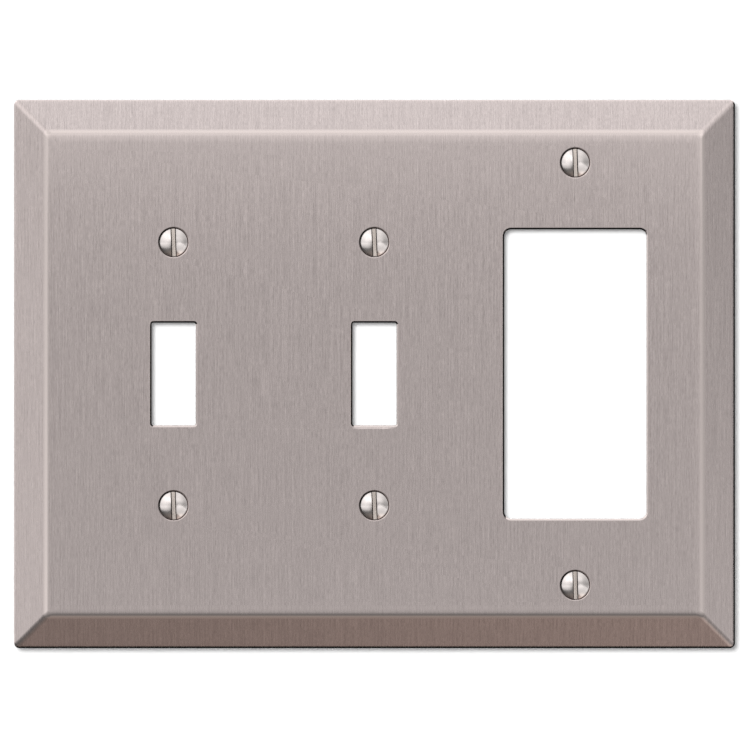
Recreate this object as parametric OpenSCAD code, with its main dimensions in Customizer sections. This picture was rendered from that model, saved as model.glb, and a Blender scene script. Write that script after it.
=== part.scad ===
// Combination wall switch plate: one pressed steel cover with two toggle openings and one
// rocker opening, held to the switches behind it by six slotted oval-head machine screws.
// Modelled with its face towards -Y, +Z up, and the origin on the wall, at the plate's centre.

/* [Plate] */
// From the outer gangs' centre lines to the plate's sides
side_margin = 36.7; // [28:0.1:60]
// From the furthest screws' centres to the plate's top and bottom edges
end_margin = 14.5; // [14:0.1:40]
// From the wall to the plate's face
plate_depth = 6; // [4.5:0.1:10]
// Thickness of the steel sheet
sheet_t = 0.8; // [0.6:0.05:1]
// Width of the sloping border, seen from the front
border_w = 7.7; // [5:0.1:9.2]
// Height of the upright edge that meets the wall
skirt_h = 1; // [0.9:0.1:2]
// Outer radius of the bend between the border and the face
bend_r = 3.8; // [2:0.1:6]
// Outer radius of the bend between the upright edge and the border
edge_r = 0.8; // [0.4:0.1:1.2]
// Outer radius of the plate's four corners
corner_r = 1.2; // [1.1:0.1:3]

/* [Openings] */
// Distance between the centre lines of neighbouring switches
gang_pitch = 46.04; // [38:0.01:60]
// Width of a toggle opening
toggle_w = 10.1; // [8:0.1:14]
// Height of a toggle opening
toggle_h = 23.5; // [18:0.1:30]
// Corner radius of a toggle opening
toggle_corner_r = 0.4; // [0.2:0.1:2]
// Width of the rocker opening
rocker_w = 32.6; // [26:0.1:38]
// Height of the rocker opening
rocker_h = 66.3; // [54:0.1:80]
// Corner radius of the rocker opening
rocker_corner_r = 1.6; // [0.4:0.1:4]

/* [Screw holes] */
// Distance between the two screws of a toggle gang
toggle_screw_pitch = 60.33; // [50:0.01:76]
// Distance between the two screws of the rocker gang
rocker_screw_pitch = 96.84; // [90:0.01:120]
// Clearance hole for the screw's shank
hole_d = 4; // [3.8:0.1:4.8]
// Diameter of the pressed countersink at the face
recess_d = 7; // [6.8:0.1:9]
// Included angle of the countersink and of the screw's head
countersink_angle = 82; // [70:1:100]

/* [Screws] */
// Diameter of the head
head_d = 6.4; // [5.4:0.1:6.7]
// Height of the head's domed crown
crown_h = 0.95; // [0.6:0.05:1.5]
// Height of the upright rim under the crown
rim_h = 0.15; // [0.1:0.05:0.3]
// Width of the driver slot
slot_w = 1.2; // [0.8:0.05:1.6]
// Depth of the driver slot, from the top of the crown
slot_depth = 1.15; // [1:0.05:2]
// Outer diameter of the thread
thread_d = 3.5; // [3:0.1:3.6]
// Distance between one thread ridge and the next
thread_pitch = 0.794; // [0.5:0.001:1]
// Diameter of the plain neck under the head
neck_d = 2.9; // [2.4:0.1:3]
// Length of the plain neck
neck_len = 1; // [0.5:0.1:2]
// Length from the head's rim to the tip
screw_len = 12.7; // [9.5:0.1:25.4]
// Gap along the screw between its head and the countersink
seat_gap = 0.08; // [0.04:0.01:0.3]

/* [Hidden] */
$fn = 64;
ARC_STEPS = 8;    // flats in a pressed bend, and in the screws' crowns
CUT = 1;          // how far a cut runs past a face
MIN_R = 0.05;     // smallest inner radius of a bend
GANGS = ["toggle", "toggle", "rocker"];
SCREWS = ["left_toggle_upper_screw", "left_toggle_lower_screw",
          "middle_toggle_upper_screw", "middle_toggle_lower_screw",
          "rocker_upper_screw", "rocker_lower_screw"];
SLOT_TILT = [2, 2, 2.5, 2.5, 2, 1.5];   // each slot's lean from upright, in the screws' order

plate_w = (len(GANGS) - 1) * gang_pitch + 2 * side_margin;
plate_h = max(toggle_screw_pitch, rocker_screw_pitch) + 2 * end_margin;
slope = atan((plate_depth - skirt_h) / border_w);   // the border's angle from the face
half_csk = countersink_angle / 2;
recess_depth = (recess_d - hole_d) / 2 / tan(half_csk);
recess_wall = sheet_t / cos(half_csk);              // the countersink's wall, across its axis
cone_top = plate_depth - (recess_d - head_d) / 2 / tan(half_csk) + seat_gap;
cone_h = (head_d - neck_d) / 2 / tan(half_csk);
crown_top = cone_top + rim_h + crown_h;
crown_r = (head_d * head_d / 4 + crown_h * crown_h) / (2 * crown_h);
thread_top = cone_top - cone_h - neck_len;
tip = cone_top - screw_len;
thread_deep = 0.6134 * thread_pitch;                // depth of a 60 degree machine thread
crest_w = thread_pitch / 8;
tip_chamfer = thread_deep;

function gang_x(i) = (i - (len(GANGS) - 1) / 2) * gang_pitch;
function screw_y(i) = (GANGS[i] == "toggle" ? toggle_screw_pitch : rocker_screw_pitch) / 2;

// Points of a bend of radius r at p, for an outline that turns from heading a down to heading b
function bend(p, a, b, r) =
    let (start = p - r * tan((a - b) / 2) * [cos(a), sin(a)],
         centre = start + r * [sin(a), -cos(a)])
    [for (i = [0 : ARC_STEPS])
        let (h = a + (b - a) * i / ARC_STEPS) centre - r * [sin(h), -cos(h)]];

// Cross-section of the pressed pan, w wide, with its surface moved in by k and its foot at z
function half_section(w, k, z) = concat(
    [[k - w / 2, z]],
    bend([k - w / 2, skirt_h - k * tan(45 - slope / 2)], 90, slope, max(edge_r - k, MIN_R)),
    bend([border_w + k * tan(slope / 2) - w / 2, plate_depth - k], slope, 0, bend_r - k));

function section(w, k, z) =
    let (left = half_section(w, k, z))
    concat(left, [for (i = [len(left) - 1 : -1 : 0]) [-left[i].x, left[i].y]]);

module round_rect(w, h, r) {
    square([w, h - 2 * r], center = true);
    square([w - 2 * r, h], center = true);
    for (x = [-1, 1], y = [-1, 1])
        translate([x * (w / 2 - r), y * (h / 2 - r)]) circle(r);
}

// The pan as a full block, its surface moved in by k and its foot at z
module pan(k, z) {
    intersection() {
        rotate([90, 0, 0]) linear_extrude(plate_h, center = true) polygon(section(plate_w, k, z));
        rotate([90, 0, 90]) linear_extrude(plate_w, center = true) polygon(section(plate_h, k, z));
        translate([0, 0, z]) linear_extrude(plate_depth - z)
            round_rect(plate_w - 2 * k, plate_h - 2 * k, corner_r - k);
    }
}

module at_screws() {
    for (i = [0 : len(GANGS) - 1], side = [-1, 1])
        translate([gang_x(i), side * screw_y(i), 0]) children();
}

// The bulge that the pressed countersink makes behind the face
module countersink_back() {
    bottom = plate_depth - recess_depth;
    h = recess_depth - sheet_t / 2;
    r = hole_d / 2 + recess_wall;
    translate([0, 0, bottom]) cylinder(h = h, r1 = r, r2 = r + h * tan(half_csk));
}

module countersink_cut() {
    h = recess_depth + CUT;
    translate([0, 0, plate_depth - recess_depth])
        cylinder(h = h, d1 = hole_d, r2 = hole_d / 2 + h * tan(half_csk));
    translate([0, 0, plate_depth - recess_depth - CUT]) cylinder(h = 2 * CUT, d = hole_d);
}

module openings() {
    for (i = [0 : len(GANGS) - 1])
        translate([gang_x(i), 0, -CUT]) linear_extrude(plate_depth + 2 * CUT)
            if (GANGS[i] == "toggle") round_rect(toggle_w, toggle_h, toggle_corner_r);
            else round_rect(rocker_w, rocker_h, rocker_corner_r);
}

module wall_plate() {
    color([0.64, 0.60, 0.58]) rotate([90, 0, 0]) difference() {
        union() {
            difference() {
                pan(0, 0);
                pan(sheet_t, -CUT);
            }
            at_screws() countersink_back();
        }
        openings();
        at_screws() countersink_cut();
    }
}

// Half of the screw's outline, from the tip up: thread ridges a pitch apart, neck, head and crown
function screw_outline() =
    let (r = thread_d / 2,
         root = r - thread_deep,
         flank = thread_deep * tan(30),
         turns = floor((thread_top - tip - tip_chamfer) / thread_pitch))
    concat(
        [[0, tip], [root - tip_chamfer, tip], [root, tip + tip_chamfer]],
        [for (i = [turns - 1 : -1 : 0], p = [
            [root, -2 * flank - crest_w],
            [r, -flank - crest_w],
            [r, -flank],
            [root, 0]]) [p.x, p.y + thread_top - i * thread_pitch]],
        [[neck_d / 2, thread_top + abs(neck_d / 2 - root)],
         [neck_d / 2, cone_top - cone_h],
         [head_d / 2, cone_top]],
        [for (i = [ARC_STEPS : -1 : 0])
            let (h = asin(head_d / 2 / crown_r) * i / ARC_STEPS)
            [crown_r * sin(h), crown_top - crown_r * (1 - cos(h))]]);

// Screw number n of SCREWS, in its countersink
module oval_head_screw(n) {
    gang = floor(n / 2);
    side = n % 2 == 0 ? 1 : -1;
    color([0.80, 0.78, 0.76]) rotate([90, 0, 0])
        translate([gang_x(gang), side * screw_y(gang), 0]) rotate(SLOT_TILT[n]) difference() {
            rotate_extrude() polygon(screw_outline());
            translate([-slot_w / 2, -head_d, crown_top - slot_depth])
                cube([slot_w, 2 * head_d, slot_depth + CUT]);
        }
}

wall_plate();
for (n = [0 : len(SCREWS) - 1])
    oval_head_screw(n);
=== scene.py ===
# A three-gang combination wall plate: pressed steel, satin nickel, with six slotted screws.
# Sizes are millimetres in the script and metres in the meshes; the face looks towards -Y.
import math

import bmesh
import bpy
from mathutils import Matrix, Vector
from mathutils.geometry import tessellate_polygon


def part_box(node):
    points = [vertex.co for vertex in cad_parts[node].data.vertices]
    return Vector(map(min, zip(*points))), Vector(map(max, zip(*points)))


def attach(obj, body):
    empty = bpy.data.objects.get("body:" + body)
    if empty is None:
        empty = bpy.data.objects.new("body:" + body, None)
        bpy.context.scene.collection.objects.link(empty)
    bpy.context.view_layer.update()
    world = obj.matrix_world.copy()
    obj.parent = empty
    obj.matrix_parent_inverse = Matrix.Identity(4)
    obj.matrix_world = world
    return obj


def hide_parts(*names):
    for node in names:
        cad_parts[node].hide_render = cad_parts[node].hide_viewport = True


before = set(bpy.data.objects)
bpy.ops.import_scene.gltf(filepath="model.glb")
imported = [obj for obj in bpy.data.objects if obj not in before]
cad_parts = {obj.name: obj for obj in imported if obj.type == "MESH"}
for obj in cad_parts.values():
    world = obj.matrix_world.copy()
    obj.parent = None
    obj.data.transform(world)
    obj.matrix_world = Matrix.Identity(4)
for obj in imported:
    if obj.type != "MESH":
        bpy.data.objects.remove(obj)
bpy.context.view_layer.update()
scene = bpy.context.scene
MM = 0.001


# ---------------------------------------------------------------------------------------
# Camera: a long lens, square on to the plate, so that the four sloping borders look alike.
plate_lo, plate_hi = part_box("wall_plate")
lens_mm = 800.0
view_w = 171.9 * MM                          # what the camera takes in at the plate's face
camera_data = bpy.data.cameras.new("camera")
camera_data.lens = lens_mm
camera_data.clip_end = 50.0
camera = bpy.data.objects.new("camera", camera_data)
camera_far = view_w * lens_mm / camera_data.sensor_width
camera.location = (0.12 * MM, plate_lo[1] - camera_far, -0.23 * MM)
camera.rotation_euler = (math.radians(90), 0, 0)
scene.collection.objects.link(camera)
scene.camera = camera
scene.view_settings.view_transform = "Standard"


# ---------------------------------------------------------------------------------------
# Studio: a white paper wall just behind the plate, a pale floor, and soft light that is
# bright above and to the left and dim below and to the right.
def new_material(name):
    material = bpy.data.materials.new(name)
    material.use_nodes = True
    material.node_tree.nodes.clear()
    return material, material.node_tree


def add(tree, kind, **values):
    """A node of this kind; a value goes to the input of that name, or to the node's setting."""
    node = tree.nodes.new(kind)
    for name, value in values.items():
        label = name.replace("_", " ")
        if label in node.inputs:
            node.inputs[label].default_value = value
        else:
            setattr(node, name, value)
    return node


def sheet_of_paper(name, corners, material):
    mesh = bpy.data.meshes.new(name)
    mesh.from_pydata([Vector(c) for c in corners], [], [range(len(corners))])
    mesh.materials.append(material)
    sheet = bpy.data.objects.new(name, mesh)
    scene.collection.objects.link(sheet)
    return sheet


wall_gap = 3 * MM                            # from the plate's rim back to the wall
floor_z = plate_lo[2] - 40 * MM
reach = 1.5                                  # how far the wall and the floor go

paper, tree = new_material("wall_paper")
paper_white = add(tree, "ShaderNodeBsdfDiffuse", Color=(0.25, 0.25, 0.25, 1))
paper_glow = add(tree, "ShaderNodeEmission", Color=(1, 1, 1, 1), Strength=0.20)
paper_front = add(tree, "ShaderNodeAddShader")
paper_back = add(tree, "ShaderNodeBsdfTransparent")
paper_side = add(tree, "ShaderNodeNewGeometry")
paper_mix = add(tree, "ShaderNodeMixShader")
paper_out = add(tree, "ShaderNodeOutputMaterial")
tree.links.new(paper_white.outputs[0], paper_front.inputs[0])
tree.links.new(paper_glow.outputs[0], paper_front.inputs[1])
tree.links.new(paper_side.outputs["Backfacing"], paper_mix.inputs[0])
tree.links.new(paper_front.outputs[0], paper_mix.inputs[1])
tree.links.new(paper_back.outputs[0], paper_mix.inputs[2])
tree.links.new(paper_mix.outputs[0], paper_out.inputs["Surface"])
wall = sheet_of_paper("wall", [(-reach, wall_gap, floor_z), (reach, wall_gap, floor_z),
                               (reach, wall_gap, reach), (-reach, wall_gap, reach)], paper)
wall.visible_glossy = False

floor_paint, tree = new_material("floor_paint")
paint = add(tree, "ShaderNodeBsdfPrincipled", Base_Color=(0.82, 0.81, 0.80, 1), Roughness=0.75)
speckle = add(tree, "ShaderNodeTexNoise", Scale=40.0, Detail=4.0)
speckle_bump = add(tree, "ShaderNodeBump", Strength=0.05, Distance=0.001)
paint_out = add(tree, "ShaderNodeOutputMaterial")
tree.links.new(speckle.outputs["Fac"], speckle_bump.inputs["Height"])
tree.links.new(speckle_bump.outputs["Normal"], paint.inputs["Normal"])
tree.links.new(paint.outputs[0], paint_out.inputs["Surface"])
floor = sheet_of_paper("floor", [(-reach, -reach, floor_z), (reach, -reach, floor_z),
                                 (reach, reach, floor_z), (-reach, reach, floor_z)], floor_paint)
floor.visible_glossy = False


def soft_light(name, place, towards, width, height, watts):
    light = bpy.data.lights.new(name, "AREA")
    light.shape = "RECTANGLE"
    light.size, light.size_y = width, height
    light.energy = watts
    lamp = bpy.data.objects.new(name, light)
    lamp.location = place
    lamp.rotation_euler = (Vector(towards) - Vector(place)).to_track_quat("-Z", "Y").to_euler()
    lamp.visible_camera = False
    scene.collection.objects.link(lamp)
    return lamp


# This sun lights only the wall. It comes from a little above and left of the camera's line, so
# the plate drops a narrow soft shadow to its right and below, and inside its openings.
shadow_lean = math.tan(math.radians(11.5))
shadow_sun = bpy.data.lights.new("shadow_sun", "SUN")
shadow_sun.energy = 9.2
shadow_sun.angle = math.radians(20)
shadow_lamp = bpy.data.objects.new("shadow_lamp", shadow_sun)
shadow_lamp.rotation_euler = Vector((shadow_lean, 1, -shadow_lean)).to_track_quat("-Z", "Y").to_euler()
scene.collection.objects.link(shadow_lamp)
wall_only = bpy.data.collections.new("wall_only")
wall_only.objects.link(wall)
shadow_lamp.light_linking.receiver_collection = wall_only

# A wide box in front and above reflects in the upper part of the face and fades downwards.
box_low, box_high, box_far = 0.050, 0.170, 0.30
box_z = (box_low + box_high) / 2
soft_light("top_box", (0, -box_far, box_z), (0, 0, box_z), 0.5, box_high - box_low, 0.047)

# Thin black strips that only reflections see, standing in for shade. They draw a dark shade line along the
# plate's right and bottom edges, and along the left and top edges of each opening.
black, tree = new_material("flag_black")
black_paint = add(tree, "ShaderNodeEmission", Color=(0, 0, 0, 1), Strength=0.0)
black_out = add(tree, "ShaderNodeOutputMaterial")
tree.links.new(black_paint.outputs[0], black_out.inputs["Surface"])


def flag(name, x, z, y):
    """A strip from the first to the last of each pair of places, in millimetres."""
    corners = [(x[0], y[0], z[0]), (x[1], y[0], z[1]), (x[1], y[1], z[1]), (x[0], y[1], z[0])]
    strip = sheet_of_paper(name, [Vector(c) * MM for c in corners], black)
    strip.visible_camera = False
    strip.visible_diffuse = False
    strip.visible_transmission = False
    strip.visible_volume_scatter = False
    strip.visible_shadow = False


# The room's own light, by direction: from low to high, from left to right, and on two slants.
by_height = [(-1.0, (0.26, 0.20, 0.18)), (-0.90, (0.33, 0.275, 0.25)), (-0.76, (0.34, 0.295, 0.27)),
             (-0.66, (0.34, 0.31, 0.29)), (-0.56, (0.21, 0.205, 0.20)), (-0.44, (0.20, 0.20, 0.20)),
             (-0.34, (0.32, 0.32, 0.32)), (-0.20, (0.47, 0.47, 0.47)), (-0.11, (0.69, 0.69, 0.69)),
             (-0.05, (0.74, 0.74, 0.74)), (0.0, (0.53, 0.53, 0.53)), (0.1, (0.595, 0.595, 0.595)),
             (0.29, (0.78, 0.78, 0.78)), (0.41, (0.90, 0.90, 0.90)), (0.70, (1.03, 1.03, 1.03)),
             (0.92, (1.00, 1.01, 1.02)), (1.0, (1.45, 1.45, 1.45))]
by_side = [(-1.0, 2.2), (-0.96, 1.24), (-0.88, 1.20), (-0.74, 1.22), (-0.53, 1.34), (-0.43, 0.98),
           (-0.29, 0.86), (-0.16, 0.80), (-0.06, 0.96), (0.0, 1.0), (0.08, 0.90), (0.17, 0.98),
           (0.29, 1.12), (0.41, 1.14), (0.53, 0.98), (0.64, 0.86), (0.74, 0.80), (0.85, 0.82),
           (0.92, 0.86), (1.0, 0.85)]
by_lower_left = [(-1.0, 1.0), (0.70, 1.0), (0.86, 0.28), (1.0, 0.28)]
by_lower_right = [(-1.0, 1.0), (0.68, 1.0), (0.84, 2.4), (1.0, 2.4)]


def direction_ramp(tree, axis, stops):
    ramp = add(tree, "ShaderNodeValToRGB")
    spread = add(tree, "ShaderNodeMapRange", From_Min=-1.0, From_Max=1.0)
    tree.links.new(axis, spread.inputs["Value"])
    tree.links.new(spread.outputs["Result"], ramp.inputs["Fac"])
    points = ramp.color_ramp.elements
    points[1].position = 1.0
    for i, (where, colour) in enumerate(stops):
        point = points[0] if i == 0 else points[-1] if i == len(stops) - 1 else points.new((where + 1) / 2)
        point.color = (*colour, 1) if isinstance(colour, tuple) else (colour, colour, colour, 1)
    return ramp.outputs["Color"]


world = bpy.data.worlds.new("room")
scene.world = world
world.use_nodes = True
tree = world.node_tree
tree.nodes.clear()
facing = add(tree, "ShaderNodeTexCoord")
axes = add(tree, "ShaderNodeSeparateXYZ")
tree.links.new(facing.outputs["Generated"], axes.inputs[0])
room_axes = [(axes.outputs["Z"], by_height), (axes.outputs["X"], by_side)]
for slant, stops in [((-1, 0, -1), by_lower_left), ((1, 0, -1), by_lower_right)]:
    along = add(tree, "ShaderNodeVectorMath", operation="DOT_PRODUCT")
    along.inputs[1].default_value = Vector(slant).normalized()
    tree.links.new(facing.outputs["Generated"], along.inputs[0])
    room_axes.append((along.outputs["Value"], stops))
room = None
for axis, stops in room_axes:
    part = direction_ramp(tree, axis, stops)
    if room is not None:
        both = add(tree, "ShaderNodeVectorMath", operation="MULTIPLY")
        tree.links.new(room, both.inputs[0])
        tree.links.new(part, both.inputs[1])
        part = both.outputs["Vector"]
    room = part
room_light = add(tree, "ShaderNodeBackground", Strength=1.0)
tree.links.new(room, room_light.inputs["Color"])
seen = add(tree, "ShaderNodeBackground", Color=(0.93, 0.93, 0.93, 1), Strength=1.0)
rays = add(tree, "ShaderNodeLightPath")
room_mix = add(tree, "ShaderNodeMixShader")
room_out = add(tree, "ShaderNodeOutputWorld")
tree.links.new(rays.outputs["Is Camera Ray"], room_mix.inputs[0])
tree.links.new(room_light.outputs[0], room_mix.inputs[1])
tree.links.new(seen.outputs[0], room_mix.inputs[2])
tree.links.new(room_mix.outputs[0], room_out.inputs["Surface"])


# ---------------------------------------------------------------------------------------
# Wall plate: one sheet of 0.8 mm steel pressed into a shallow pan, with its openings cut and
# its screw holes pressed in, brushed upright, nickel plated and clear coated.
half_w = plate_hi[0] / MM
half_h = plate_hi[2] / MM
depth = -plate_lo[1] / MM
sheet_t = 0.8
corner_r = 1.2
screw_nodes = ["left_toggle_upper_screw", "left_toggle_lower_screw", "middle_toggle_upper_screw",
               "middle_toggle_lower_screw", "rocker_upper_screw", "rocker_lower_screw"]


def screw_place(node):
    """A screw's axis, in millimetres across and up."""
    lo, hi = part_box(node)
    return (lo[0] + hi[0]) / 2 / MM, (lo[2] + hi[2]) / 2 / MM


left_x, middle_x, rocker_x = [screw_place(screw_nodes[i])[0] for i in (0, 2, 4)]
openings = [(left_x, 10.1, 23.5, 0.4), (middle_x, 10.1, 23.5, 0.4), (rocker_x, 32.6, 66.3, 1.6)]
recess_d = 7.0
hole_d = 4.0
countersink = math.radians(41)               # the cone's side, from the screw's axis
flag_gap = 0.4                               # from the plate's edge out to a strip
flag_y = (-1.6, 2.9)                         # a strip's front and back edges
flag("right_flag", (half_w + flag_gap, half_w + flag_gap), (-half_h - flag_gap, half_h), flag_y)
flag("bottom_flag", (-half_w, half_w + flag_gap), (-half_h - flag_gap, -half_h - flag_gap), flag_y)
flag_gap = 0.35
card_y = -2.7
card_lap = 4                                 # how far a card reaches past its opening
flag_y = (-7.5, card_y - 0.1)
for i, (cx, w, h, _) in enumerate(openings):
    left, right, low, high = cx - w / 2, cx + w / 2, -h / 2, h / 2
    flag(f"opening_{i}_left_flag", (left + flag_gap, left + flag_gap), (low, high - flag_gap), flag_y)
    flag(f"opening_{i}_top_flag", (left + flag_gap, right), (high - flag_gap, high - flag_gap), flag_y)
    # A card of the same paper stands close behind each opening, as a switch would.
    x0, x1, z0, z1 = [v * MM for v in (left - card_lap, right + card_lap, low - card_lap, high + card_lap)]
    card = sheet_of_paper(f"opening_{i}_card", [(x0, card_y * MM, z0), (x1, card_y * MM, z0),
                                                (x1, card_y * MM, z1), (x0, card_y * MM, z1)], paper)
    card.visible_glossy = False
    wall_only.objects.link(card)


def stroke(points, length, start, end, steps):
    """Carries a side view on by an arc of this length, turning from one heading to another."""
    across, up, _ = points[-1]
    for i in range(steps):
        turn = start + (end - start) * (i + 0.5) / steps
        across += length / steps * math.cos(turn)
        up += length / steps * math.sin(turn)
        points.append((across, up, start + (end - start) * (i + 1) / steps))


border_w, skirt_h = 7.7, 1.0
border_slope = math.atan((depth - skirt_h) / border_w)


def border_side():
    """The pressed border from the rim up to the face: how far in, how high, which way it heads."""
    slope = border_slope
    level = math.radians(5)
    upright = math.pi / 2
    rim_r, edge_r, bend_r, ease = 0.12, 0.8, 3.4, 1.6
    points = [(rim_r, 0.0, math.pi)]
    stroke(points, rim_r * upright, math.pi, upright, 3)
    stroke(points, 0.57 - rim_r, upright, upright, 1)
    stroke(points, edge_r * (upright - slope), upright, slope, 8)
    rise = points[-1][1]
    bend = [(0.0, 0.0, slope)]
    stroke(bend, bend_r * (slope - level), slope, level, 12)
    stroke(bend, ease, level, 0.0, 8)
    flat = (depth - rise - bend[-1][1]) / math.sin(slope)
    stroke(points, flat - 0.8, slope, slope, 4)
    stroke(points, 0.8, slope, slope, 1)
    foot = points[-1]
    points += [(foot[0] + p[0], foot[1] + p[1], p[2]) for p in bend[1:]]
    return points


def rounded_ring(cx, cz, ring_w, ring_h, r, y, steps=10):
    """A rectangle with round corners; ring_w and ring_h are half its width and height."""
    ring = []
    for quarter, (sx, sz) in enumerate([(1, 1), (-1, 1), (-1, -1), (1, -1)]):
        for i in range(steps + 1):
            turn = math.radians(90 * (quarter + i / steps))
            ring.append((cx + sx * (ring_w - r) + r * math.cos(turn), y,
                         cz + sz * (ring_h - r) + r * math.sin(turn)))
    return ring


def round_ring(cx, cz, r, y, steps=72):
    turns = [2 * math.pi * i / steps for i in range(steps)]
    return [(cx + r * math.cos(t), y, cz + r * math.sin(t)) for t in turns]


def loft(bm, rings, rub_and_light_marks, layer):
    """Joins rings of points with a skin, and returns the first and last ring's vertices."""
    made = []
    for ring, rub_and_light_mark in zip(rings, rub_and_light_marks):
        verts = [bm.verts.new(Vector(p) * MM) for p in ring]
        for i, v in enumerate(verts):
            v[layer] = rub_and_light_mark[i] if isinstance(rub_and_light_mark, list) else rub_and_light_mark
        made.append(verts)
    for low, high in zip(made, made[1:]):
        for i in range(len(low)):
            j = (i + 1) % len(low)
            bm.faces.new((low[i], low[j], high[j], high[i]))
    return made[0], made[-1]


def fill_flat(bm, outline, holes):
    """A flat skin from an outline to its holes."""
    loops = [outline] + holes
    verts = [v for loop in loops for v in loop]
    for tri in tessellate_polygon([[v.co for v in loop] for loop in loops]):
        bm.faces.new([verts[i] for i in tri])


def pan_rings(side):
    """The pan from the face's edge, down over the border, round the rim and up the inside."""
    rings, rub_and_light_marks = [], []
    sheen_lean, sheen_spread = 20, 12            # degrees: the ridge's lighter band, partly rubbing and partly painted highlight, peaks at this lean
    outside = side[::-1]
    outside.insert(0, (outside[0][0] + 0.2, depth, 0.0))
    for across, up, heading in outside:
        rings.append(rounded_ring(0, 0, half_w - across, half_h - across, corner_r, -up))
        on_ridge = up > depth / 2 and heading < border_slope - 0.001
        rub_and_sheen = math.exp(-((math.degrees(heading) - sheen_lean) / sheen_spread) ** 2)
        # The skirt is marked lighter from rubbing; the ridge's band is painted highlight as well as
        # rubbing.
        rub_and_light_marks.append(1.0 if up < skirt_h else rub_and_sheen if on_ridge else 0.0)
    inside = [p for p in side if p[2] <= math.pi / 2]
    rim_in = sheet_t - 0.1
    rings.append(rounded_ring(0, 0, half_w - rim_in, half_h - rim_in, corner_r - rim_in, 0.0))
    rub_and_light_marks.append(1.0)
    for across, up, heading in inside:
        inwards = sheet_t * math.sin(heading)
        inset = across + inwards
        rings.append(rounded_ring(0, 0, half_w - inset, half_h - inset, corner_r - inwards,
                                  -up + sheet_t * math.cos(heading)))
        rub_and_light_marks.append(0.0)
    inset = side[-1][0] + 0.3
    rings.append(rounded_ring(0, 0, half_w - inset, half_h - inset, corner_r, -depth + sheet_t))
    rub_and_light_marks.append(0.0)
    return rings, rub_and_light_marks


def opening_rings(cx, w, h, r):
    """A cut opening: a rolled front edge, the cut wall, and a small burr edge behind."""
    roll, burr, back = 0.45, 0.05, -depth + sheet_t
    steps = [(roll + 0.4, -depth, 0.0), (roll, -depth, 0.2)]
    for i in range(1, 6):
        turn = math.radians(90 * i / 5)
        steps.append((roll * (1 - math.sin(turn)), -depth + roll * (1 - math.cos(turn)), 1.0))
    steps += [(0.0, back - burr, 1.0), (burr, back, 0.0), (burr + 0.4, back, 0.0)]
    rings = [rounded_ring(cx, 0, w / 2 + o, h / 2 + o, r + o, y) for o, y, _ in steps]
    return rings, [rub_and_light_mark for _, _, rub_and_light_mark in steps]


def recess_rings(cx, cz):
    """A pressed countersink: a soft lip, the cone, the sheet's end, and the bulge behind."""
    lip, back = 0.25, -depth + sheet_t
    lean = math.pi / 2 - countersink
    reach_in = lip * math.tan(lean / 2)
    bottom = -depth + (recess_d - hole_d) / 2 / math.tan(countersink)
    wall = sheet_t / math.cos(countersink)
    outer = recess_d / 2 + reach_in
    steps = [(outer + 0.2, -depth, 0.0), (outer, -depth, 0.0)]
    for i in range(1, 6):
        turn = lean * i / 5
        steps.append((outer - lip * math.sin(turn), -depth + lip * (1 - math.cos(turn)), "lip"))
    steps += [(outer - lip * math.sin(lean) - 0.03, -depth + lip * (1 - math.cos(lean)) + 0.03, "cone")]
    steps += [(hole_d / 2 + 0.05, bottom - 0.06, "cone"), (hole_d / 2, bottom - 0.02, 1.0),
              (hole_d / 2 + 0.02, bottom, 1.0), (hole_d / 2 + wall - 0.05, bottom, 0.0),
              (hole_d / 2 + wall, bottom - 0.05, 0.0)]
    root_r = hole_d / 2 + wall + (bottom - back) * math.tan(countersink)
    fillet = 0.5
    reach_out = fillet * math.tan(lean / 2)
    for i in range(6):
        turn = lean * (1 - i / 5)
        steps.append((root_r + reach_out - fillet * math.sin(turn),
                      back + fillet * (1 - math.cos(turn)), 0.0))
    steps.append((root_r + reach_out + 0.3, back, 0.0))
    rings = [round_ring(cx, cz, r, y) for r, y, _ in steps]
    # Painted shade and highlight: the ring is painted darkest at its upper left and lighter on its lower
    # right lip, as if lit from the upper left.
    towards = [math.cos(math.atan2(z - cz, x - cx) - math.radians(150)) for x, _, z in rings[0]]
    painted_shades = {"cone": [-0.65 - 0.35 * t for t in towards], "lip": [-0.15 - 0.75 * t for t in towards]}
    return rings, [painted_shades.get(rub_and_light_mark, rub_and_light_mark) for _, _, rub_and_light_mark in steps]


bm = bmesh.new()
rub_and_painted_light = bm.verts.layers.float.new("rub_and_painted_light")
face_outline, back_outline = loft(bm, *pan_rings(border_side()), rub_and_painted_light)
face_holes, back_holes = [], []
for opening in openings:
    front, behind = loft(bm, *opening_rings(*opening), rub_and_painted_light)
    face_holes.append(front)
    back_holes.append(behind)
for node in screw_nodes:
    front, behind = loft(bm, *recess_rings(*screw_place(node)), rub_and_painted_light)
    face_holes.append(front)
    back_holes.append(behind)
fill_flat(bm, face_outline, face_holes)
fill_flat(bm, back_outline, back_holes)
bmesh.ops.recalc_face_normals(bm, faces=bm.faces)

# The grain runs upright on every side, so the sideways map is unrolled round the upright edges.
# The inside, which faces the wall, has the plainer finish.
grain_map = bm.loops.layers.uv.new("grain_map")
for face in bm.faces:
    face.smooth = True
    n = face.normal
    face.material_index = 1 if n.y > 0.05 else 0
    for loop in face.loops:
        x, y, z = loop.vert.co
        if abs(n.x) > abs(n.z):
            loop[grain_map].uv = (x - math.copysign(y, n.x), z)
        else:
            loop[grain_map].uv = (x, z - math.copysign(y, n.z))
plate_mesh = bpy.data.meshes.new("brushed_wall_plate")
bm.to_mesh(plate_mesh)
bm.free()
plate = bpy.data.objects.new("brushed_wall_plate", plate_mesh)
scene.collection.objects.link(plate)


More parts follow.
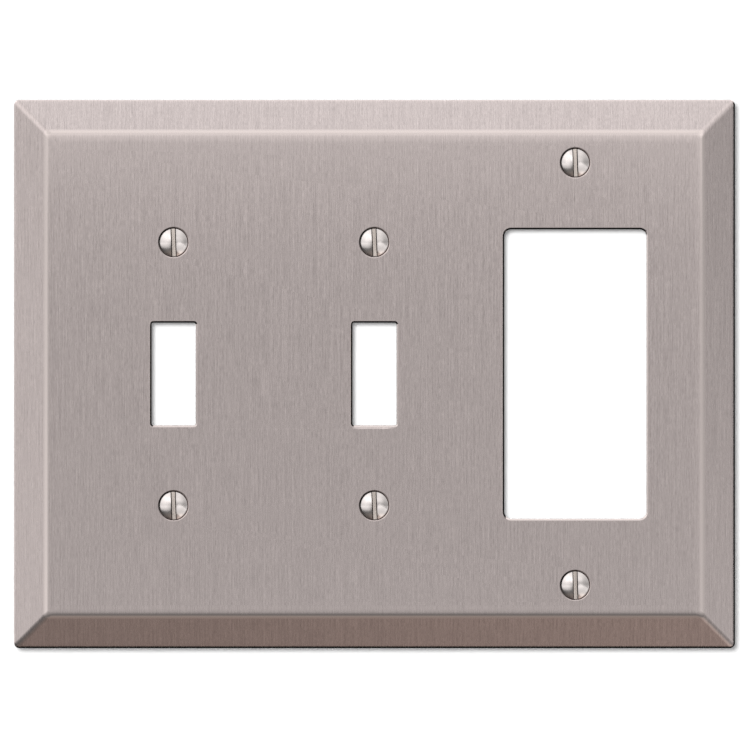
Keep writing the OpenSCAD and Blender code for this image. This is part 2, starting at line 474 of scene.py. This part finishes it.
def grain_group():
    """Fine brushed streaks along Z, as a shade round 1 and a height for the bump."""
    group = bpy.data.node_groups.new("brushed_grain", "ShaderNodeTree")
    face = group.interface
    face.new_socket("Vector", in_out="INPUT", socket_type="NodeSocketVector")
    for name, value in [("Streak Width", 0.25), ("Streak Length", 5.0), ("Contrast", 0.1)]:
        socket = face.new_socket(name, in_out="INPUT", socket_type="NodeSocketFloat")
        socket.default_value = value
    face.new_socket("Shade", in_out="OUTPUT", socket_type="NodeSocketFloat")
    face.new_socket("Height", in_out="OUTPUT", socket_type="NodeSocketFloat")
    come = group.nodes.new("NodeGroupInput")
    go = group.nodes.new("NodeGroupOutput")
    total = None
    # Three sets of streaks: short and fine, middling, and long; each has its share.
    for times, longer, share in [(1.0, 0.25, 0.40), (1.2, 1.0, 0.35), (2.2, 4.0, 0.25)]:
        across = add(group, "ShaderNodeMath", operation="MULTIPLY")
        along = add(group, "ShaderNodeMath", operation="MULTIPLY")
        across.inputs[1].default_value = times * MM
        along.inputs[1].default_value = longer * MM
        group.links.new(come.outputs["Streak Width"], across.inputs[0])
        group.links.new(come.outputs["Streak Length"], along.inputs[0])
        size = add(group, "ShaderNodeCombineXYZ")
        group.links.new(across.outputs[0], size.inputs["X"])
        group.links.new(across.outputs[0], size.inputs["Y"])
        group.links.new(along.outputs[0], size.inputs["Z"])
        place = add(group, "ShaderNodeVectorMath", operation="DIVIDE")
        group.links.new(come.outputs["Vector"], place.inputs[0])
        group.links.new(size.outputs[0], place.inputs[1])
        streaks = add(group, "ShaderNodeTexNoise", Scale=1.0, Detail=1.0, Roughness=0.6)
        group.links.new(place.outputs[0], streaks.inputs["Vector"])
        part = add(group, "ShaderNodeMath", operation="MULTIPLY_ADD")
        part.inputs[1].default_value = share
        part.inputs[2].default_value = 0.0
        group.links.new(streaks.outputs["Fac"], part.inputs[0])
        if total is not None:
            group.links.new(total, part.inputs[2])
        total = part.outputs[0]
    centred = add(group, "ShaderNodeMath", operation="SUBTRACT")
    centred.inputs[1].default_value = 0.5
    shade = add(group, "ShaderNodeMath", operation="MULTIPLY_ADD")
    shade.inputs[2].default_value = 1.0
    group.links.new(total, centred.inputs[0])
    group.links.new(centred.outputs[0], shade.inputs[0])
    group.links.new(come.outputs["Contrast"], shade.inputs[1])
    group.links.new(shade.outputs[0], go.inputs["Shade"])
    group.links.new(total, go.inputs["Height"])
    return group


brushed_grain = grain_group()


def unrolled(tree, uv_map):
    """Where a point lies on a map, with the map's second way as Z, along the streaks."""
    chart = add(tree, "ShaderNodeUVMap", uv_map=uv_map)
    split = add(tree, "ShaderNodeSeparateXYZ")
    join = add(tree, "ShaderNodeCombineXYZ")
    tree.links.new(chart.outputs[0], split.inputs[0])
    tree.links.new(split.outputs["X"], join.inputs["X"])
    tree.links.new(split.outputs["Y"], join.inputs["Z"])
    return join.outputs[0]


def brushed_metal(name, colour, roughness, width, length, contrast, cut, anisotropy=0.0, rub_and_light_mark=None):
    """Plated metal with a grain: its colour, roughness and bump follow the streaks."""
    material, tree = new_material(name)
    grain = add(tree, "ShaderNodeGroup", node_tree=brushed_grain)
    grain.inputs["Streak Width"].default_value = width
    grain.inputs["Streak Length"].default_value = length
    grain.inputs["Contrast"].default_value = contrast
    tree.links.new(unrolled(tree, "grain_map"), grain.inputs["Vector"])
    metal = add(tree, "ShaderNodeBsdfPrincipled", Metallic=1.0)
    metal.inputs["Anisotropic"].default_value = anisotropy
    tint = add(tree, "ShaderNodeMix", data_type="RGBA", blend_type="MULTIPLY")
    tint.inputs["Factor"].default_value = 1.0
    tint.inputs[6].default_value = (*colour, 1)
    tree.links.new(grain.outputs["Shade"], tint.inputs[7])
    base = tint.outputs[2]
    rough = add(tree, "ShaderNodeMath", operation="MULTIPLY")
    rough.inputs[1].default_value = roughness
    tree.links.new(grain.outputs["Shade"], rough.inputs[0])
    if rub_and_light_mark is not None:
        # This mark runs from -1, painted shade down in a recess (near black, and rougher), to 1, a lighter
        # edge from rubbing, which on the ridge is also a painted highlight.
        edge = add(tree, "ShaderNodeAttribute", attribute_name="rub_and_painted_light")
        # Lighter towards the given colour: rubbing on the edges, painted highlight on the ridge.
        lighter = add(tree, "ShaderNodeMix", data_type="RGBA")
        lighter.inputs[7].default_value = (*rub_and_light_mark, 1)
        tree.links.new(edge.outputs["Fac"], lighter.inputs["Factor"])
        tree.links.new(base, lighter.inputs[6])
        recess = add(tree, "ShaderNodeMath", operation="MULTIPLY", use_clamp=True)
        recess.inputs[1].default_value = -1.0
        tree.links.new(edge.outputs["Fac"], recess.inputs[0])
        # Painted shade: in a recess the colour goes towards near black.
        darker = add(tree, "ShaderNodeMix", data_type="RGBA")
        darker.inputs[7].default_value = (0.02, 0.017, 0.016, 1)
        tree.links.new(recess.outputs[0], darker.inputs["Factor"])
        tree.links.new(lighter.outputs[2], darker.inputs[6])
        base = darker.outputs[2]
        duller = add(tree, "ShaderNodeMath", operation="MULTIPLY_ADD")
        duller.inputs[1].default_value = 0.4
        tree.links.new(recess.outputs[0], duller.inputs[0])
        tree.links.new(rough.outputs[0], duller.inputs[2])
        rub_and_sheen = add(tree, "ShaderNodeMath", operation="MAXIMUM")
        rub_and_sheen.inputs[1].default_value = 0.0
        tree.links.new(edge.outputs["Fac"], rub_and_sheen.inputs[0])
        smoother = add(tree, "ShaderNodeMath", operation="MULTIPLY_ADD")
        smoother.inputs[1].default_value = -0.09
        tree.links.new(rub_and_sheen.outputs[0], smoother.inputs[0])
        tree.links.new(duller.outputs[0], smoother.inputs[2])
        rough = smoother
    bump = add(tree, "ShaderNodeBump", Strength=1.0, Distance=cut * MM)
    tree.links.new(grain.outputs["Height"], bump.inputs["Height"])
    tree.links.new(base, metal.inputs["Base Color"])
    tree.links.new(rough.outputs[0], metal.inputs["Roughness"])
    tree.links.new(bump.outputs["Normal"], metal.inputs["Normal"])
    if anisotropy:
        sideways = add(tree, "ShaderNodeTangent", direction_type="UV_MAP", uv_map="grain_map")
        tree.links.new(sideways.outputs[0], metal.inputs["Tangent"])
    out = add(tree, "ShaderNodeOutputMaterial")
    tree.links.new(metal.outputs[0], out.inputs["Surface"])
    return material


plate_mesh.materials.append(brushed_metal("satin_nickel", (0.655, 0.572, 0.555), 0.25, 0.165, 5.5, 1.26,
                                          0.002, anisotropy=0.5, rub_and_light_mark=(0.83, 0.73, 0.70)))
plate_mesh.materials.append(brushed_metal("plain_steel_inside", (0.56, 0.55, 0.54), 0.45, 0.6, 9.0, 0.5,
                                          0.004))
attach(plate, "plate")
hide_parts("wall_plate")


# ---------------------------------------------------------------------------------------
# Screws: six slotted oval-head machine screws with a 6-32 thread, turned and rolled from
# steel, bright nickel plated. Each sits in its countersink and runs into the switch behind.
slot_turns = [2.0, 2.0, 2.5, 2.5, 2.0, 1.5]  # degrees that each slot leans to the left
head_d, rim_h, crown_h = 6.4, 0.15, 0.95
slot_w, slot_depth = 1.2, 1.15
saw_r = 0.3                                  # the slot's bottom corners
seat_gap = 0.08                              # along the screw, between its cone and the plate's
head_seat = depth - (recess_d - head_d) / 2 / math.tan(countersink) + seat_gap
slot_floor = head_seat + rim_h + crown_h - slot_depth


def sums(tree, operation, *parts):
    """One step of arithmetic on sockets and plain numbers."""
    node = add(tree, "ShaderNodeMath", operation=operation)
    for socket, part in zip(node.inputs, parts):
        if isinstance(part, (int, float)):
            socket.default_value = part
        else:
            tree.links.new(part, socket)
    return node.outputs[0]


def pick(tree, kind, test, no, yes):
    """The one value where the test fails, and the other where it holds."""
    node = add(tree, "GeometryNodeSwitch", input_type=kind)
    tree.links.new(test, node.inputs["Switch"])
    tree.links.new(no, node.inputs["False"])
    tree.links.new(yes, node.inputs["True"])
    return node.outputs[0]


def point(tree, x, y, z):
    node = add(tree, "ShaderNodeCombineXYZ")
    for socket, part in zip(node.inputs, (x, y, z)):
        if isinstance(part, (int, float)):
            socket.default_value = part
        else:
            tree.links.new(part, socket)
    return node.outputs[0]


def screw_tree():
    """A whole screw from its sizes in millimetres, head up along Z, then laid into the plate."""
    tree = bpy.data.node_groups.new("oval_head_screw", "GeometryNodeTree")
    sizes = [("Head Diameter", head_d), ("Crown Height", crown_h), ("Rim Height", rim_h),
             ("Cone Half Angle", math.degrees(countersink)), ("Neck Diameter", 2.9), ("Neck Length", 1.0),
             ("Thread Diameter", 3.5), ("Thread Pitch", 0.794), ("Length", 12.7), ("Head Seat", head_seat),
             ("Slot Width", slot_w), ("Slot Depth", slot_depth), ("Slot Lean", 2.0)]
    for name, value in sizes:
        socket = tree.interface.new_socket(name, in_out="INPUT", socket_type="NodeSocketFloat")
        socket.default_value = value
    tree.interface.new_socket("Place", in_out="INPUT", socket_type="NodeSocketVector")
    tree.interface.new_socket("Material", in_out="INPUT", socket_type="NodeSocketMaterial")
    tree.interface.new_socket("Geometry", in_out="OUTPUT", socket_type="NodeSocketGeometry")
    come = tree.nodes.new("NodeGroupInput").outputs
    go = tree.nodes.new("NodeGroupOutput")

    # Heights from the wall and radii, worked out from the sizes.
    soft = 0.04                              # rounding of the head's edges
    head_r = sums(tree, "DIVIDE", come["Head Diameter"], 2)
    neck_r = sums(tree, "DIVIDE", come["Neck Diameter"], 2)
    seat = come["Head Seat"]
    half_angle = sums(tree, "RADIANS", come["Cone Half Angle"])
    overhang = sums(tree, "SUBTRACT", head_r, neck_r)
    cone_h = sums(tree, "DIVIDE", overhang, sums(tree, "TANGENT", half_angle))
    cone_end = sums(tree, "SUBTRACT", seat, cone_h)
    rim_top = sums(tree, "ADD", seat, come["Rim Height"])
    crown_top = sums(tree, "ADD", rim_top, come["Crown Height"])
    crown = come["Crown Height"]
    square = sums(tree, "MULTIPLY_ADD", head_r, head_r, sums(tree, "MULTIPLY", crown, crown))
    crown_r = sums(tree, "DIVIDE", square, sums(tree, "MULTIPLY", crown, 2))
    crown_half = sums(tree, "ARCSINE", sums(tree, "DIVIDE", sums(tree, "SUBTRACT", head_r, soft), crown_r))
    pitch = come["Thread Pitch"]
    thread_deep = sums(tree, "MULTIPLY", pitch, 0.6134)   # the unified thread's share of a pitch
    root = sums(tree, "SUBTRACT", sums(tree, "DIVIDE", come["Thread Diameter"], 2), thread_deep)
    thread_top = sums(tree, "SUBTRACT", cone_end, come["Neck Length"])
    tip = sums(tree, "SUBTRACT", seat, come["Length"])
    thread_low = sums(tree, "ADD", tip, thread_deep)

    # The skin is one grid: columns go round the screw, and rows climb from the tip to the crown.
    columns, per_pitch, crown_rows, tip_rows, turns = 96, 4, 14, 3, 14
    thread_rows = turns * per_pitch
    above = [(root, thread_top), (neck_r, sums(tree, "ADD", thread_top, 0.187)), (neck_r, cone_end),
             (sums(tree, "SUBTRACT", head_r, soft), sums(tree, "SUBTRACT", seat, soft)),
             (sums(tree, "SUBTRACT", head_r, soft * 0.3), sums(tree, "SUBTRACT", seat, soft * 0.3)),
             (head_r, sums(tree, "ADD", seat, soft * 0.5)),
             (head_r, sums(tree, "SUBTRACT", rim_top, soft)),
             (sums(tree, "SUBTRACT", head_r, soft * 0.3), sums(tree, "SUBTRACT", rim_top, soft * 0.3))]
    below = [(0.0, tip), (sums(tree, "SUBTRACT", root, thread_deep), tip), (root, thread_low)]
    crown_start = tip_rows + thread_rows + len(above)
    rows = crown_start + crown_rows + 1
    grid = add(tree, "GeometryNodeMeshGrid", Vertices_X=rows, Vertices_Y=columns + 1)
    index = add(tree, "GeometryNodeInputIndex").outputs[0]
    row = sums(tree, "FLOOR", sums(tree, "DIVIDE", sums(tree, "ADD", index, 0.5), columns + 1))
    column = sums(tree, "SUBTRACT", index, sums(tree, "MULTIPLY", row, columns + 1))
    round_part = sums(tree, "DIVIDE", column, columns)

    # Thread rows: root, root, crest, crest, a pitch higher each turn, and running out at the ends.
    step = sums(tree, "SUBTRACT", row, tip_rows)
    turn = sums(tree, "FLOOR", sums(tree, "DIVIDE", sums(tree, "ADD", step, 0.5), per_pitch))
    phase = sums(tree, "SUBTRACT", step, sums(tree, "MULTIPLY", turn, per_pitch))
    on_crest = sums(tree, "GREATER_THAN", phase, 1.5)
    past_first = sums(tree, "GREATER_THAN", sums(tree, "MODULO", phase, 2), 0.5)
    # within a pitch: 0, 1/6, 0.521 and 0.646 of it
    rise = sums(tree, "ADD", sums(tree, "MULTIPLY", on_crest, 0.5209),
                sums(tree, "MULTIPLY", past_first, sums(tree, "MULTIPLY_ADD", on_crest, -0.0417, 0.1667)))
    whole = sums(tree, "ADD", sums(tree, "ADD", turn, rise), sums(tree, "SUBTRACT", round_part, 1))
    climbed = sums(tree, "MULTIPLY_ADD", whole, pitch, thread_low)
    height = sums(tree, "MINIMUM", sums(tree, "MAXIMUM", climbed, thread_low), thread_top)
    to_end = sums(tree, "MINIMUM", sums(tree, "SUBTRACT", height, thread_low),
                  sums(tree, "SUBTRACT", thread_top, height))
    fade = sums(tree, "MINIMUM", sums(tree, "DIVIDE", to_end, sums(tree, "MULTIPLY", pitch, 0.6)), 1)
    ridge = sums(tree, "MULTIPLY", sums(tree, "MULTIPLY", on_crest, fade), thread_deep)
    thread_place = point(tree, sums(tree, "ADD", root, ridge), 0, height)

    # Crown rows: an arc from the rim to the top.
    crown_part = sums(tree, "DIVIDE", sums(tree, "SUBTRACT", rows - 1, row), crown_rows)
    lean = sums(tree, "MULTIPLY", crown_half, crown_part)
    fall = sums(tree, "MULTIPLY", crown_r, sums(tree, "SUBTRACT", 1, sums(tree, "COSINE", lean)))
    crown_place = point(tree, sums(tree, "MULTIPLY", crown_r, sums(tree, "SINE", lean)), 0,
                        sums(tree, "SUBTRACT", crown_top, fall))

    # The rows between have a corner of the outline each.
    outline = add(tree, "GeometryNodeIndexSwitch", data_type="VECTOR")
    while len(outline.index_switch_items) < len(below) + len(above):
        outline.index_switch_items.new()
    past_thread = sums(tree, "GREATER_THAN", row, tip_rows + thread_rows - 0.5)
    station = sums(tree, "SUBTRACT", row, sums(tree, "MULTIPLY", past_thread, thread_rows))
    tree.links.new(station, outline.inputs["Index"])
    for i, (r, z) in enumerate(below + above):
        tree.links.new(point(tree, r, 0, z), outline.inputs[i + 1])
    in_thread = sums(tree, "SUBTRACT", sums(tree, "GREATER_THAN", row, tip_rows - 0.5), past_thread)
    in_crown = sums(tree, "GREATER_THAN", row, crown_start - 0.5)
    place = pick(tree, "VECTOR", in_thread, outline.outputs[0], thread_place)
    place = pick(tree, "VECTOR", in_crown, place, crown_place)
    swing = add(tree, "ShaderNodeVectorRotate", rotation_type="Z_AXIS")
    tree.links.new(place, swing.inputs["Vector"])
    tree.links.new(sums(tree, "MULTIPLY", round_part, 2 * math.pi), swing.inputs["Angle"])
    wrap = add(tree, "GeometryNodeSetPosition")
    tree.links.new(grid.outputs["Mesh"], wrap.inputs["Geometry"])
    tree.links.new(swing.outputs[0], wrap.inputs["Position"])
    weld = add(tree, "GeometryNodeMergeByDistance", Distance=0.0004)
    tree.links.new(wrap.outputs[0], weld.inputs["Geometry"])

    # The driver slot is sawn across the head; the saw leaves a small radius along its floor.
    spare = 1.0
    blade = add(tree, "GeometryNodeCurvePrimitiveQuadrilateral")
    tree.links.new(come["Slot Width"], blade.inputs["Width"])
    tree.links.new(sums(tree, "ADD", come["Slot Depth"], spare), blade.inputs["Height"])
    blade_round = add(tree, "GeometryNodeFilletCurve", Radius=saw_r, mode="POLY", Count=6)
    tree.links.new(blade.outputs[0], blade_round.inputs["Curve"])
    path = add(tree, "GeometryNodeCurvePrimitiveLine")
    behind = sums(tree, "MULTIPLY", come["Head Diameter"], -1)
    tree.links.new(point(tree, 0, behind, 0), path.inputs["Start"])
    tree.links.new(point(tree, 0, come["Head Diameter"], 0), path.inputs["End"])
    cutter = add(tree, "GeometryNodeCurveToMesh", Fill_Caps=True)
    tree.links.new(path.outputs[0], cutter.inputs["Curve"])
    tree.links.new(blade_round.outputs[0], cutter.inputs["Profile Curve"])
    set_in = add(tree, "GeometryNodeTransform")
    tree.links.new(cutter.outputs["Mesh"], set_in.inputs["Geometry"])
    half_deep = sums(tree, "DIVIDE", come["Slot Depth"], 2)
    middle = sums(tree, "ADD", sums(tree, "SUBTRACT", crown_top, half_deep), spare / 2)
    tree.links.new(point(tree, 0, 0, middle), set_in.inputs["Translation"])
    tree.links.new(point(tree, 0, 0, sums(tree, "RADIANS", come["Slot Lean"])), set_in.inputs["Rotation"])
    saw = add(tree, "GeometryNodeMeshBoolean", operation="DIFFERENCE", solver="MANIFOLD")
    tree.links.new(weld.outputs[0], saw.inputs[0])
    tree.links.new(set_in.outputs[0], saw.inputs[1])

    # Head towards the room, in metres, in its place in the plate.
    lay = add(tree, "GeometryNodeTransform", Rotation=(math.pi / 2, 0, 0), Scale=(MM, MM, MM))
    tree.links.new(saw.outputs[0], lay.inputs["Geometry"])
    tree.links.new(come["Place"], lay.inputs["Translation"])
    real = add(tree, "GeometryNodeRealizeInstances")
    finish = add(tree, "GeometryNodeSetMaterial")
    tree.links.new(lay.outputs[0], real.inputs["Geometry"])
    tree.links.new(real.outputs[0], finish.inputs["Geometry"])
    tree.links.new(come["Material"], finish.inputs["Material"])
    tree.links.new(finish.outputs[0], go.inputs["Geometry"])
    return tree


def nickel_screw():
    """Bright nickel with fine rings left by the lathe; in the slot, painted shade on the sides and
    corners, a warmer floor, and more roughness.
    """
    material, tree = new_material("bright_nickel")
    rings = add(tree, "ShaderNodeGroup", node_tree=brushed_grain)
    rings.inputs["Streak Width"].default_value = 0.10
    rings.inputs["Streak Length"].default_value = 2.0
    rings.inputs["Contrast"].default_value = 0.35
    tree.links.new(unrolled(tree, "turned_map"), rings.inputs["Vector"])
    metal = add(tree, "ShaderNodeBsdfPrincipled", Metallic=1.0)
    metal.inputs["Anisotropic"].default_value = 0.6
    tint = add(tree, "ShaderNodeMix", data_type="RGBA", blend_type="MULTIPLY")
    tint.inputs["Factor"].default_value = 1.0
    tint.inputs[6].default_value = (0.70, 0.648, 0.628, 1)
    tree.links.new(rings.outputs["Shade"], tint.inputs[7])
    # in_slot is 0 on the head, 0.5 on the slot's sides and corners, and 1 on its floor: the sides and
    # corners are painted dark as shade, and the floor a warmer tone.
    in_slot = add(tree, "ShaderNodeAttribute", attribute_name="in_slot")
    slot_part = add(tree, "ShaderNodeValToRGB")
    slot_part.color_ramp.elements[0].color = (0, 0, 0, 1)
    slot_part.color_ramp.elements[1].color = (0.74, 0.655, 0.60, 1)
    slot_part.color_ramp.elements.new(0.5).color = (0.11, 0.09, 0.08, 1)
    tree.links.new(in_slot.outputs["Fac"], slot_part.inputs["Fac"])
    inside = add(tree, "ShaderNodeMath", operation="GREATER_THAN")
    inside.inputs[1].default_value = 0.25
    tree.links.new(in_slot.outputs["Fac"], inside.inputs[0])
    slot_paint = add(tree, "ShaderNodeMix", data_type="RGBA")
    tree.links.new(inside.outputs[0], slot_paint.inputs["Factor"])
    tree.links.new(tint.outputs[2], slot_paint.inputs[6])
    tree.links.new(slot_part.outputs["Color"], slot_paint.inputs[7])
    rough = add(tree, "ShaderNodeMapRange", From_Min=0.0, From_Max=1.0, To_Min=0.20, To_Max=0.32)
    tree.links.new(in_slot.outputs["Fac"], rough.inputs["Value"])
    bump = add(tree, "ShaderNodeBump", Strength=1.0, Distance=0.0015 * MM)
    tree.links.new(rings.outputs["Height"], bump.inputs["Height"])
    outwards = add(tree, "ShaderNodeTangent", direction_type="UV_MAP", uv_map="turned_map")
    tree.links.new(slot_paint.outputs[2], metal.inputs["Base Color"])
    tree.links.new(rough.outputs[0], metal.inputs["Roughness"])
    tree.links.new(bump.outputs["Normal"], metal.inputs["Normal"])
    tree.links.new(outwards.outputs[0], metal.inputs["Tangent"])
    out = add(tree, "ShaderNodeOutputMaterial")
    tree.links.new(metal.outputs[0], out.inputs["Surface"])
    return material


def finish_screw(mesh, cx, cz, lean):
    """Sharp and smooth edges, the turned map, and the mark that paints shade on the slot's sides and
    corners.
    """
    fall_share = 0.3                         # how much of a height counts as radius on the map
    bm = bmesh.new()
    bm.from_mesh(mesh)
    bmesh.ops.recalc_face_normals(bm, faces=bm.faces)
    turned_map = bm.loops.layers.uv.new("turned_map")
    in_slot = bm.faces.layers.float.new("in_slot")
    across = Vector((math.cos(lean), 0, math.sin(lean)))
    near = 0.02                              # how far off a slot's own surface still counts
    half_slot, floor_y = (slot_w / 2 + near) * MM, -(slot_floor - near) * MM
    corner_y = -(slot_floor + saw_r + 0.03) * MM
    for face in bm.faces:
        face.smooth = True
        centre = face.calc_center_median()
        side = Vector((centre.x - cx, 0, centre.z - cz))
        sawn = abs(side.dot(across)) < half_slot and centre.y < floor_y
        low = sawn and (abs(face.normal.dot(across)) > 0.9 or centre.y > corner_y)
        face[in_slot] = 0.0 if not low else 1.0 if face.normal.y < -0.95 else 0.5
        start = math.atan2(side.z, side.x)
        for loop in face.loops:
            x, z = loop.vert.co.x - cx, loop.vert.co.z - cz
            swing = (math.atan2(z, x) - start + math.pi) % (2 * math.pi) - math.pi
            loop[turned_map].uv = (math.hypot(x, z) - loop.vert.co.y * fall_share, (start + swing) * MM)
    bm.to_mesh(mesh)
    bm.free()
    mesh.set_sharp_from_angle(angle=math.radians(38))


screw_nodes_tree = screw_tree()
screw_finish = nickel_screw()
socket_ids = {item.name: item.identifier for item in screw_nodes_tree.interface.items_tree
              if item.in_out == "INPUT"}
heads = bpy.data.collections.new("heads")
for node, lean in zip(screw_nodes, slot_turns):
    cx, cz = screw_place(node)
    maker = bpy.data.objects.new("screw_maker", bpy.data.meshes.new("screw_maker"))
    scene.collection.objects.link(maker)
    build = maker.modifiers.new("build", "NODES")
    build.node_group = screw_nodes_tree
    build[socket_ids["Slot Lean"]] = lean
    build[socket_ids["Place"]] = (cx * MM, 0.0, cz * MM)
    build[socket_ids["Material"]] = screw_finish
    made = maker.evaluated_get(bpy.context.evaluated_depsgraph_get())
    screw_mesh = bpy.data.meshes.new_from_object(made)
    screw_mesh.materials.clear()
    screw_mesh.materials.append(screw_finish)
    screw_mesh.polygons.foreach_set("material_index", [0] * len(screw_mesh.polygons))
    bpy.data.objects.remove(maker)
    finish_screw(screw_mesh, cx * MM, cz * MM, math.radians(lean))
    screw = bpy.data.objects.new("nickel_" + node, screw_mesh)
    scene.collection.objects.link(screw)
    heads.objects.link(screw)
    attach(screw, node)
    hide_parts(node)


# Three broad soft lamps that light only the screws, from the left, the top and the lower right.
# Each turns its sides to the screws' axis, so their edges run outwards over the crowns.
def head_lamp(name, turn, out, wide, tall, watts):
    """A lamp 2 m off, at a turn from +X round the screws' axis and so many degrees off that axis."""
    turn, out = math.radians(turn), math.radians(out)
    sideways = Vector((math.cos(turn), 0, math.sin(turn)))
    back = sideways * math.sin(out) + Vector((0, -math.cos(out), 0))
    lamp = soft_light(name, back * 2.0, (0, 0, 0), wide, tall, watts)
    up = (sideways - back * sideways.dot(back)).normalized()
    lamp.rotation_euler = Matrix((up.cross(back), up, back)).transposed().to_euler()
    lamp.light_linking.receiver_collection = heads


head_lamp("left_head_lamp", 168, 40, 2.3, 2.0, 5.8)
head_lamp("upper_head_lamp", 112, 40, 0.9, 2.0, 2.6)
head_lamp("right_head_lamp", 322, 40, 1.5, 2.0, 6.2)
